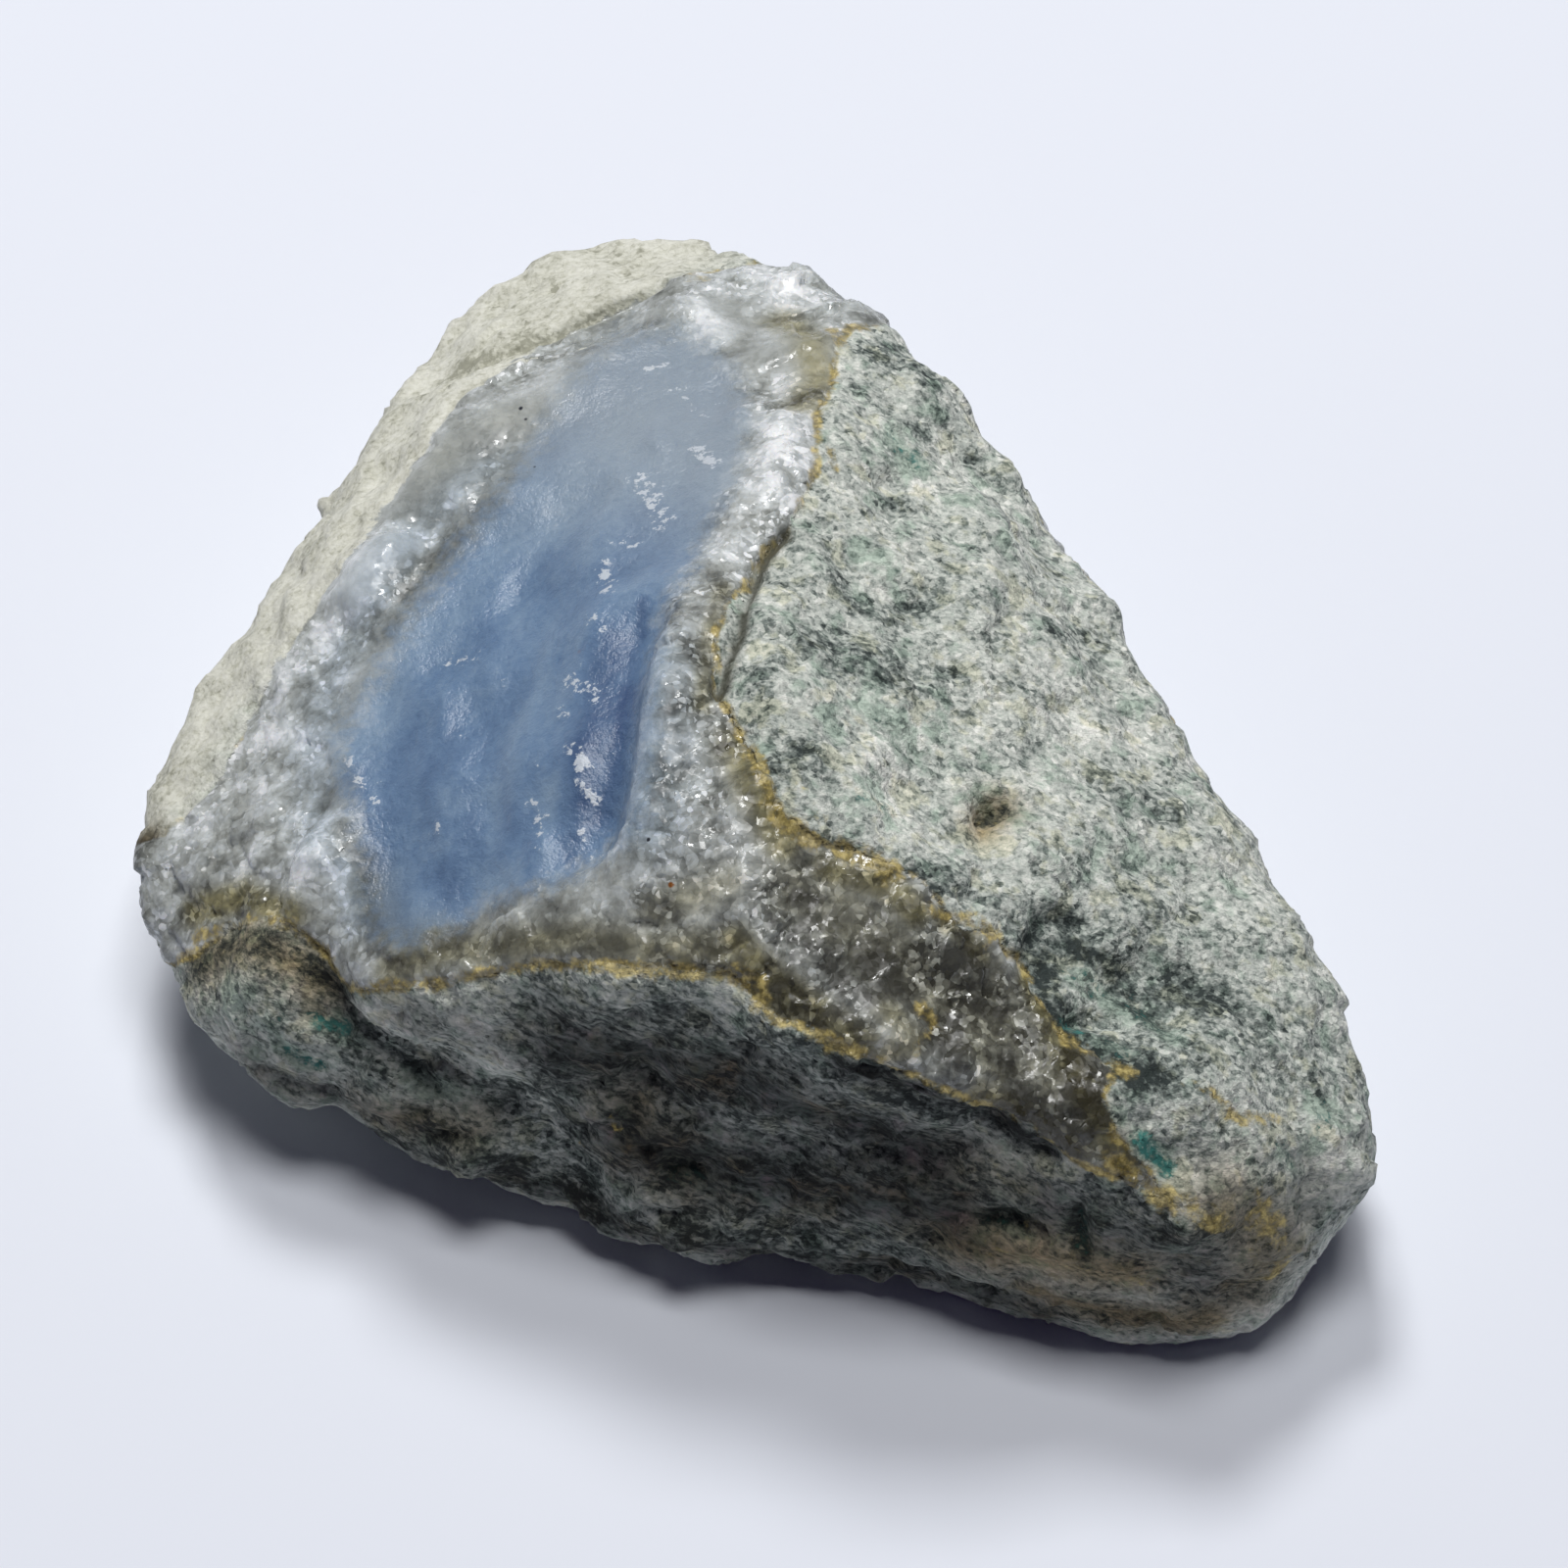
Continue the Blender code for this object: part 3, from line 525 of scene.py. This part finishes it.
def pits_at(points, size, share):
    """1 in the middle of pits that a share of the cells has, 0 between them."""
    depths = np.zeros(len(points))
    for i, place in enumerate(points / size):
        near, middles = noise.voronoi(Vector(place))
        if noise.cell(middles[0] * PIT_SEED) < share:
            depths[i] = math.exp(-((near[0] / PIT_WIDTH) ** 2))
    return depths


def layered(points):
    """Coordinates drawn out along the layers of the host rock."""
    turn = np.array([
        [math.cos(GRAIN_TILT), 0.0, -math.sin(GRAIN_TILT)],
        [0.0, 1.0, 0.0],
        [math.sin(GRAIN_TILT), 0.0, math.cos(GRAIN_TILT)],
    ])
    return points @ turn.T * np.array(GRAIN_STRETCH)


def fine_copy(node):
    """An even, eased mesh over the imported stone."""
    copy = bpy.data.objects.new("opal_stone_surface", node.data.copy())
    bpy.context.scene.collection.objects.link(copy)
    copy.data.materials.clear()
    cells = copy.modifiers.new("cells", "REMESH")
    cells.mode = "VOXEL"
    cells.voxel_size = CELL * MM
    easing = copy.modifiers.new("easing", "SMOOTH")
    easing.factor = 0.5
    easing.iterations = EASING_STEPS
    graph = bpy.context.evaluated_depsgraph_get()
    mesh = bpy.data.meshes.new_from_object(copy.evaluated_get(graph))
    copy.modifiers.clear()
    copy.data = mesh
    return copy


def arrays_of(mesh):
    """The mesh's points, in millimetres, and their normals."""
    count = len(mesh.vertices)
    places = np.empty(count * 3, np.float32)
    normals = np.empty(count * 3, np.float32)
    mesh.vertices.foreach_get("co", places)
    mesh.vertex_normals.foreach_get("vector", normals)
    return places.reshape(-1, 3).astype(float) / MM, normals.reshape(-1, 3).astype(float)


def vein_depth(points, normals):
    """How deep each point is in the vein, in millimetres, and less than nothing in the host rock."""
    wobble = np.stack([noise_at(points, 1.6), noise_at(points + 40.0, 1.6)], -1)
    shown = depth_inside(pixels_of(points) + VEIN_WOBBLE * wobble, VEIN_OUTLINE)
    x, y, z = points.T
    top = VEIN_TOP - VEIN_FALL * x - VEIN_TILT * y - VEIN_BEND * np.maximum(y, 0.0) ** 2
    top += 1.2 * noise_at(points, 9.0)
    hidden = 0.8 * np.minimum(top - z, z - top + VEIN_THICKNESS)
    facing = smoothstep(-(normals @ FORWARD), -0.12, 0.12)
    return facing * shown + (1 - facing) * hidden


def opal_depth(points, normals):
    """How deep each point is in the opal, in millimetres, and less than nothing outside it."""
    wobble = np.stack([noise_at(points, 1.1), noise_at(points + 70.0, 1.1)], -1)
    shown = depth_inside(pixels_of(points) + OPAL_WOBBLE * wobble, OPAL_OUTLINE)
    return np.where(normals @ FORWARD < 0, shown, NO_OPAL)


def refine_vein(mesh):
    """Halves the cells of the vein, where facets are small."""
    points, normals = arrays_of(mesh)
    wanted = vein_depth(points, normals) > -VEIN_MARGIN
    wanted &= normals @ FORWARD < 0.1
    shape = bmesh.new()
    shape.from_mesh(mesh)
    shape.verts.ensure_lookup_table()
    faces = [f for f in shape.faces if all(wanted[v.index] for v in f.verts)]
    edges = list({edge for face in faces for edge in face.edges})
    bmesh.ops.subdivide_edges(shape, edges=edges, cuts=1, use_grid_fill=True)
    shape.to_mesh(mesh)
    shape.free()


def fields_of(mesh, tree):
    """What each point is made of: depths in the vein and the opal, the cream rock and the strokes."""
    points, normals = arrays_of(mesh)
    fields = {"vein": vein_depth(points, normals), "opal": opal_depth(points, normals)}
    (x1, y1), (x2, y2) = CREAM_LINE
    length = math.hypot(x2 - x1, y2 - y1)
    left = ((points[:, 1] - y1) * (x2 - x1) - (points[:, 0] - x1) * (y2 - y1)) / length
    left += CREAM_WOBBLE * noise_at(points, 5.0)
    fields["cream"] = smoothstep(left, -CREAM_SOFTNESS, CREAM_SOFTNESS)
    for kind, strokes in STROKES.items():
        fields[kind] = np.zeros(len(points))
        for width, strength, pixels in strokes:
            laid = strength * hump(distance_to_path(points, on_stone(tree, pixels)), width)
            fields[kind] = np.maximum(fields[kind], laid)
    return fields


def relief_heights(points, tree):
    """The height that the fine relief gives at each point."""
    total = np.zeros(len(points))
    for _, width, height, pixels in RELIEF:
        total += height * hump(distance_to_path(points, on_stone(tree, pixels)), width)
    return total


def host_heights(points):
    """The height of the host rock's flakes, grains and pits."""
    thin = layered(points)
    heights = 0.14 * noise_at(points, 4.2) + 0.15 * noise_at(thin, 1.5)
    heights += facets_at(thin + 20.0, 4.4, 0.08) + facets_at(thin, 2.0, 0.10)
    heights -= 0.30 * pits_at(thin, 2.6, 0.25)
    return heights


def quartz_heights(points):
    """The height of the quartz's broken crystals."""
    crystals = facets_at(points, 3.0, 0.12) + facets_at(points + 50.0, 1.3, 0.12)
    return crystals + 0.2 * noise_at(points, 3.5)


def opal_heights(points):
    """The height of the opal's smooth, shell-like break."""
    heights = 0.28 * noise_at(points, 7.0) + 0.10 * noise_at(points, 3.0)
    return heights + 0.04 * noise_at(points * (1.0, 0.6, 1.0), 1.2)


def work_surface(mesh, fields, tree):
    """Moves each point along its normal by the heights of its region, and keeps it over the floor."""
    points, normals = arrays_of(mesh)
    in_vein = smoothstep(fields["vein"], -0.25, 0.25)
    in_opal = smoothstep(fields["opal"], -0.5, 0.5)
    # The relief is up to twice as high where the shade is painted
    heights = (1 - in_vein) * host_heights(points) * (1 + np.minimum(fields["painted_shade"], 1.0))
    rough = 1 - 0.7 * np.minimum(fields["smooth"], 1.0)
    heights += in_vein * (1 - in_opal) * quartz_heights(points) * rough
    heights += in_vein * in_opal * opal_heights(points)
    heights -= EDGE_GROOVE * hump(fields["vein"], EDGE_GROOVE_WIDTH)
    heights -= OPAL_SINK * smoothstep(fields["opal"], -0.4, 2.0)
    heights += relief_heights(points, tree) + LIFT
    low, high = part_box(NODE)
    rest = smoothstep(points[:, 2], RELIEF_FROM, RELIEF_FULL)
    moved = points + normals * (heights * rest)[:, None]
    moved = np.clip(moved, np.array(low) / MM - BOX_MARGIN, np.array(high) / MM + BOX_MARGIN)
    moved[:, 2] = np.maximum(moved[:, 2], 0.0)
    mesh.vertices.foreach_set("co", (moved * MM).astype(np.float32).ravel())
    mesh.update()


def store(mesh, fields):
    """Writes the fields on the mesh, where the materials read them."""
    for name, values in fields.items():
        layer = mesh.attributes.new(name, "FLOAT", "POINT")
        layer.data.foreach_set("value", values.astype(np.float32))


class Nodes:
    """Builds a material's nodes: each call adds one or a few and gives the last one's output."""

    def __init__(self, material):
        material.use_nodes = True
        self.tree = material.node_tree
        self.shader = self.tree.nodes["Principled BSDF"]

    def put(self, socket, value):
        """Links an output to a socket, or sets the socket to a constant."""
        if isinstance(value, bpy.types.NodeSocket):
            self.tree.links.new(value, socket)
        elif value is not None:
            socket.default_value = value

    def fill(self, node, **values):
        """Puts values in a node's inputs, by name, with _ for a space."""
        for name, value in values.items():
            self.put(node.inputs[name.replace("_", " ")], value)
        return node

    def add(self, kind, *values, **settings):
        """A node with its settings, and with values in its first inputs."""
        node = self.tree.nodes.new(kind)
        for name, value in settings.items():
            setattr(node, name, value)
        for socket, value in zip(node.inputs, values):
            self.put(socket, value)
        return node

    def math(self, operation, first, second=None, third=None):
        return self.add("ShaderNodeMath", first, second, third, operation=operation).outputs[0]

    def vector_math(self, operation, first, second):
        node = self.add("ShaderNodeVectorMath", first, second, operation=operation)
        return node.outputs["Value" if operation in ("DOT_PRODUCT", "DISTANCE") else "Vector"]

    def total(self, base, *terms):
        """A base and the sum of terms, each a value and its share."""
        for value, share in terms:
            base = self.math("MULTIPLY_ADD", value, share, base)
        return base

    def field(self, name):
        """A field that the mesh holds."""
        return self.add("ShaderNodeAttribute", attribute_name=name).outputs["Fac"]

    def full_field(self, name):
        """A field that the mesh holds, at most 1."""
        return self.math("MINIMUM", self.field(name), 1.0)

    def noise(self, place, scale, detail=3.0, roughness=0.55, distortion=0.0):
        """Smooth noise, with scale lumps to a millimetre."""
        node = self.add("ShaderNodeTexNoise")
        self.fill(node, Vector=place, Scale=scale, Detail=detail)
        self.fill(node, Roughness=roughness, Distortion=distortion)
        return node.outputs["Fac"]

    def cells(self, place, size):
        """Voronoi cells of a size: a random colour for each, and the way from its middle."""
        scaled = self.vector_math("MULTIPLY", place, (1 / size,) * 3)
        node = self.fill(self.add("ShaderNodeTexVoronoi"), Vector=scaled, Scale=1.0)
        way = self.vector_math("SUBTRACT", scaled, node.outputs["Position"])
        return node.outputs["Color"], way

    def facet(self, colour, way, size, slope):
        """Height in millimetres of flat facets of a size, each tilted its own way."""
        tilt = self.vector_math("SUBTRACT", colour, (0.5, 0.5, 0.5))
        return self.math("MULTIPLY", self.vector_math("DOT_PRODUCT", tilt, way), 2 * slope * size)

    def bend(self, place, scale, amount):
        """Places pushed about by a smooth noise, which breaks up straight edges."""
        node = self.fill(self.add("ShaderNodeTexNoise"), Vector=place, Scale=scale, Detail=1.0)
        push = self.vector_math("SUBTRACT", node.outputs["Color"], (0.5, 0.5, 0.5))
        return self.vector_math("ADD", place, self.vector_math("MULTIPLY", push, (amount,) * 3))

    def between(self, value, low, high):
        """0 below low, 1 above high, and smooth between them."""
        node = self.add("ShaderNodeMapRange", interpolation_type="SMOOTHSTEP")
        return self.fill(node, Value=value, From_Min=low, From_Max=high).outputs["Result"]

    def ramp(self, value, *stops):
        """A colour for a value, from stops that are each a place and a colour from 0 to 255."""
        node = self.add("ShaderNodeValToRGB", value)
        points = node.color_ramp.elements
        while len(points) < len(stops):
            points.new(1.0)
        for point, (place, colour) in zip(points, stops):
            point.position = place
            point.color = rgb(*colour)
        return node.outputs["Color"]

    def mix(self, share, first, second, blend="MIX"):
        """A colour between two, or two colours multiplied."""
        node = self.add("ShaderNodeMix", data_type="RGBA", blend_type=blend)
        for index, value in ((0, share), (6, first), (7, second)):
            self.put(node.inputs[index], value)
        return node.outputs[2]

    def tint(self, share, colour, red, green, blue):
        """A colour that is multiplied, by a share, with one from 0 to 255."""
        return self.mix(share, colour, self.mix(1.0, colour, rgb(red, green, blue), "MULTIPLY"))

    def blend(self, share, first, second):
        """A number between two."""
        node = self.add("ShaderNodeMix", data_type="FLOAT")
        for index, value in ((0, share), (2, first), (3, second)):
            self.put(node.inputs[index], value)
        return node.outputs[0]


def host_rock(g, place, thin):
    """Small flecks of white, grey and green, with cream rock on the left, and painted shade on the front,
    its foot and in pits, slots and creases: colour, roughness, height.
    """
    grain_colour, grain_way = g.cells(g.bend(thin, 1.6, 0.3), HOST_GRAIN)
    grain = g.vector_math("DOT_PRODUCT", grain_colour, (0.5, 0.5, 0.0))
    fleck = g.noise(thin, 2.0, 2.0, 0.75)
    patch = g.noise(place, 0.30, 3.0, 0.65)
    hue = g.noise(place, 0.45, 3.0, 0.6)
    streaks = g.noise(g.vector_math("MULTIPLY", thin, (0.5, 0.8, 1.7)), 1.0, 3.0, 0.7)
    # Streaks of the rock, drawn stronger inside the painted shade
    streaks_in_painted_shade = g.math("MULTIPLY", g.field("painted_shade"), g.math("SUBTRACT", streaks, 0.52))
    # The dark strokes are partly dark rock and partly painted shade
    tone = g.total(
        -0.495, (grain, 0.34), (fleck, 0.90), (patch, 0.82), (g.field("pale"), 0.16),
        (g.field("dark_rock_and_painted_shade"), -0.36), (streaks_in_painted_shade, 2.0), (g.field("cream"), -0.08),
    )
    colour = g.ramp(
        tone,
        (0.12, (46, 55, 53)), (0.31, (118, 127, 121)), (0.47, (178, 184, 176)),
        (0.64, (208, 212, 203)), (0.86, (240, 240, 232)),
    )
    green = g.total(hue, (g.field("green"), 0.25))
    colour = g.tint(g.between(green, 0.52, 0.70), colour, 212, 226, 218)
    colour = g.tint(g.between(hue, 0.47, 0.36), colour, 248, 246, 233)
    teal = g.total(0.0, (g.field("green"), 0.75), (fleck, -1.0), (grain, -0.35))
    colour = g.mix(g.between(teal, -0.16, 0.30), colour, rgb(66, 132, 124))
    cream = g.ramp(
        tone,
        (0.12, (154, 154, 138)), (0.28, (188, 188, 172)), (0.44, (207, 207, 193)),
        (0.70, (223, 223, 211)),
    )
    colour = g.mix(g.field("cream"), colour, cream)
    colour = g.tint(g.full_field("brown"), colour, 200, 178, 146)
    # Painted shade: where it lies the colour is multiplied by this dark tint, whose hue follows the rock's
    # patches
    painted_shade_colour = g.ramp(
        patch,
        (0.34, (118, 101, 83)), (0.46, (101, 101, 99)), (0.56, (88, 94, 95)), (0.68, (108, 95, 104)),
    )
    colour = g.mix(g.full_field("painted_shade"), colour, g.mix(1.0, colour, painted_shade_colour, "MULTIPLY"))
    height = g.total(g.facet(grain_colour, grain_way, HOST_GRAIN, 0.34), (fleck, 0.18))
    return colour, 0.88, g.math("MULTIPLY", height, g.total(1.0, (g.field("cream"), -0.6)))


def quartz(g, place):
    """Sugary broken crystals, some white and some clear and dark, with bright cells that are partly white
    grains and partly painted glints, and painted shade on the front: colour, roughness, height.
    """
    bent = g.bend(place, 0.9, 0.55)
    grain_colour, grain_way = g.cells(bent, QUARTZ_GRAIN)
    sugar_colour, sugar_way = g.cells(bent, SUGAR_GRAIN)
    grain = g.math("POWER", g.vector_math("DOT_PRODUCT", grain_colour, (1.0, 0.0, 0.0)), 2.5)
    # The brightest of these cells stand partly for white grains and partly for painted glints
    white_grains_and_glints = g.math("POWER", g.vector_math("DOT_PRODUCT", sugar_colour, (1.0, 0.0, 0.0)), 4.0)
    cloud = g.noise(place, 0.34, 4.0, 0.66, 0.3)
    plain = g.math("SUBTRACT", 1.0, g.field("smooth"))
    patchy = g.between(g.noise(place, 0.42, 2.0, 0.6), 0.44, 0.60)
    cluster = g.math("MULTIPLY", plain, g.blend(patchy, 0.25, 1.0))
    veils = g.math("MULTIPLY", g.math("SUBTRACT", cloud, 0.5), g.total(0.45, (plain, 0.8)))
    # The painted shade darkens the quartz too
    tone = g.total(
        0.445, (veils, 1.0), (g.math("MULTIPLY", grain, plain), 0.16),
        (g.math("MULTIPLY", white_grains_and_glints, cluster), 0.40), (g.field("pale"), 0.24), (g.field("grey"), -0.20),
        (g.field("olive"), -0.12), (g.field("painted_shade"), -0.16),
    )
    colour = g.ramp(
        tone,
        (0.16, (74, 75, 70)), (0.34, (120, 123, 118)), (0.50, (160, 164, 160)),
        (0.66, (194, 199, 198)), (0.84, (238, 240, 240)),
    )
    colour = g.tint(g.full_field("blue"), colour, 212, 226, 244)
    olive = g.between(g.total(0.0, (g.field("olive"), 0.9), (cloud, 0.5)), 0.35, 1.2)
    colour = g.tint(olive, colour, 212, 200, 156)
    fine = g.math("MULTIPLY", g.facet(sugar_colour, sugar_way, SUGAR_GRAIN, 0.23), cluster)
    height = g.total(fine, (g.facet(grain_colour, grain_way, QUARTZ_GRAIN, 0.17), 1.0))
    roughness = g.total(0.12, (g.vector_math("DOT_PRODUCT", sugar_colour, (0.0, 0.45, 0.0)), 1.0))
    return colour, roughness, g.math("MULTIPLY", height, g.total(0.2, (plain, 0.8)))


def opal(g, place):
    """Milky blue, paler in veils, darker along the step, partly its own deeper blue and partly painted shade
    of the step, and grey at the back: colour, roughness, height."""
    haze = g.noise(place, 0.13, 3.0, 0.5, 0.4)
    drawn_out = g.vector_math("MULTIPLY", place, (1.0, 0.4, 0.6))
    streak = g.noise(drawn_out, 0.55, 3.0, 0.55, 0.2)
    frost = g.noise(place, 1.5, 3.0, 0.7)
    tone = g.total(
        -0.05, (haze, 0.40), (streak, 0.26), (frost, 0.28), (g.field("pale"), 0.25),
        (g.field("navy"), -0.36),
    )
    colour = g.ramp(
        tone,
        (0.02, (64, 84, 120)), (0.20, (82, 106, 138)), (0.38, (104, 130, 160)),
        (0.56, (130, 153, 176)), (0.76, (168, 181, 194)),
    )
    back = g.between(g.vector_math("DOT_PRODUCT", place, (0.9, 1.0, 0.0)), -12.0, 11.0)
    colour = g.mix(back, colour, g.mix(0.36, rgb(161, 169, 172), colour))
    colour = g.mix(g.math("MULTIPLY", g.field("olive"), 0.7), colour, rgb(124, 133, 134))
    fleck = g.between(g.total(frost, (g.field("fleck"), 0.27)), 0.72, 0.79)
    colour = g.mix(g.math("MULTIPLY", fleck, 0.8), colour, rgb(208, 214, 219))
    height = g.total(0.0, (frost, 0.14), (g.field("fleck"), 0.05))
    return colour, g.total(0.20, (frost, 0.34)), height


def with_stains(g, place, ragged, colour):
    """Lays the ochre that gathers along the vein's edge, and painted shade in the open crack, on a colour."""
    border = g.between(g.math("ABSOLUTE", g.field("vein")), 0.8, 0.0)
    broken = g.noise(place, 0.34, 2.0, 0.6)
    marked = g.math("MAXIMUM", g.math("MULTIPLY", border, 0.85), g.full_field("ochre"))
    stain = g.total(0.0, (marked, 0.8), (ragged, 0.8), (broken, 1.6), (g.field("cream"), -0.6))
    ochre = g.ramp(ragged, (0.36, (92, 84, 48)), (0.5, (146, 130, 74)), (0.64, (202, 184, 118)))
    share = g.math("MULTIPLY", g.between(stain, 1.62, 2.05), g.between(marked, 0.0, 0.3))
    colour = g.mix(g.math("MULTIPLY", share, 0.85), colour, ochre)
    # Painted shade in the crack
    return g.mix(g.math("MINIMUM", g.field("painted_crack_shade"), 0.9), colour, rgb(62, 62, 50))


def with_specks(g, place, colour, tree):
    """Lays the single specks on a colour."""
    for tint, radius, pixel in SPECKS:
        away = g.vector_math("DISTANCE", place, tuple(place_on(tree, pixel)))
        share = g.between(away, radius * (1 + SPECK_EDGE), radius * (1 - SPECK_EDGE))
        colour = g.mix(share, colour, rgb(*SPECK_COLOURS[tint]))
    return colour


def stone_material(name, regions, tree):
    """A material for the faces that show one region, or two that meet there."""
    material = bpy.data.materials.new(name)
    g = Nodes(material)
    place = g.vector_math("MULTIPLY", g.add("ShaderNodeTexCoord").outputs["Object"], (1 / MM,) * 3)
    surfaces = []
    if "host" in regions:
        turned = g.add("ShaderNodeVectorRotate", place, rotation_type="Y_AXIS")
        g.fill(turned, Angle=-GRAIN_TILT)
        thin = g.vector_math("MULTIPLY", turned.outputs[0], GRAIN_STRETCH)
        surfaces.append(host_rock(g, place, thin))
    if "quartz" in regions:
        surfaces.append(quartz(g, place))
    if "opal" in regions:
        surfaces.append(opal(g, place))
    colour, roughness, height = surfaces[0]
    ragged = g.noise(place, 1.4, 3.0, 0.65)
    if len(surfaces) == 2:
        if "host" in regions:
            share = g.between(g.total(-0.45, (g.field("vein"), 1.0), (ragged, 0.9)), -0.12, 0.12)
        else:
            share = g.between(g.total(-1.2, (g.field("opal"), 1.0), (ragged, 2.4)), -1.1, 1.5)
        colour = g.mix(share, colour, surfaces[1][0])
        roughness = g.blend(share, roughness, surfaces[1][1])
        height = g.blend(share, height, surfaces[1][2])
    colour = with_stains(g, place, ragged, colour)
    if "host" not in regions:
        colour = with_specks(g, place, colour, tree)

    bump = g.fill(g.add("ShaderNodeBump"), Strength=1.0, Distance=MM, Height=height)
    g.fill(
        g.shader, Base_Color=colour, Roughness=roughness, Normal=bump.outputs["Normal"],
        Metallic=0.0, IOR=1.5, Subsurface_Weight=0.0 if "host" in regions else SCATTER,
        Subsurface_Scale=SCATTER_REACH * MM, Subsurface_Radius=SCATTER_COLOUR,
    )
    return material


def share_materials(mesh, fields):
    """Gives each face the material of its region, or of the two regions that meet on it."""
    names = list(MATERIALS)
    corners = np.array([face.vertices[:3] for face in mesh.polygons])
    in_vein = fields["vein"][corners].mean(axis=1)
    in_opal = fields["opal"][corners].mean(axis=1)
    kinds = np.full(len(corners), names.index("quartz"))
    kinds[in_opal > OPAL_EDGE_FROM] = names.index("opal_edge")
    kinds[in_opal > OPAL_EDGE_TO] = names.index("opal")
    kinds[in_vein < CONTACT_DEPTH] = names.index("vein_contact")
    kinds[in_vein < -CONTACT_DEPTH] = names.index("host_rock")
    mesh.polygons.foreach_set("material_index", kinds.astype(np.int32))
    mesh.polygons.foreach_set("use_smooth", np.ones(len(corners), bool))


def make_stone():
    """The whole stone: its fine mesh, its regions and their materials."""
    stone = fine_copy(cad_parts[NODE])
    mesh = stone.data
    refine_vein(mesh)
    faces = [tuple(face.vertices) for face in mesh.polygons]
    tree = BVHTree.FromPolygons([point.co for point in mesh.vertices], faces)
    fields = fields_of(mesh, tree)
    work_surface(mesh, fields, tree)
    store(mesh, fields)
    for name, regions in MATERIALS.items():
        mesh.materials.append(stone_material(name, regions, tree))
    share_materials(mesh, fields)
    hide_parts(NODE)
    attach(stone, "root")


def make_floor():
    """A wide sheet of pale paper."""
    bpy.ops.mesh.primitive_plane_add(size=PAPER_WIDTH)
    floor = bpy.context.object
    floor.name = "paper_floor"
    material = bpy.data.materials.new("paper")
    g = Nodes(material)
    g.fill(g.shader, Base_Color=rgb(*PAPER_COLOUR), Roughness=0.8, Specular_IOR_Level=0.2)
    floor.data.materials.append(material)


def make_lamp(name, elevation, left, distance, size, power):
    """A soft square lamp that points at the stone, turned to the left of straight behind it."""
    lamp = bpy.data.objects.new(name, bpy.data.lights.new(name, "AREA"))
    bpy.context.scene.collection.objects.link(lamp)
    lamp.data.shape = "SQUARE"
    lamp.data.size = size
    lamp.data.energy = power
    elevation, left = math.radians(elevation), math.radians(left)
    across = distance * math.cos(elevation)
    lamp.location = (-across * math.sin(left), across * math.cos(left), distance * math.sin(elevation))
    lamp.rotation_euler = (-lamp.location).to_track_quat("-Z", "Y").to_euler()


def make_light():
    """The lamps, and a little light from all round."""
    for name, facts in LAMPS.items():
        make_lamp(name, *facts)
    world = bpy.data.worlds.new("room")
    bpy.context.scene.world = world
    world.use_nodes = True
    room = world.node_tree.nodes["Background"]
    room.inputs["Color"].default_value = ROOM_COLOUR
    room.inputs["Strength"].default_value = ROOM_STRENGTH
    bpy.context.scene.view_settings.view_transform = "Standard"


def make_camera():
    """The photograph's camera."""
    camera = bpy.data.objects.new("camera", bpy.data.cameras.new("camera"))
    bpy.context.scene.collection.objects.link(camera)
    camera.location = Vector(EYE * MM)
    camera.rotation_euler = (math.radians(90) - CAMERA_ELEVATION, 0.0, 0.0)
    camera.data.sensor_width = SENSOR
    camera.data.lens = SENSOR * CAMERA_DISTANCE / FRAME_WIDTH
    camera.data.clip_start = 10 * MM
    bpy.context.scene.camera = camera


make_camera()
make_light()
make_floor()
make_stone()

bpy.context.view_layer.update()
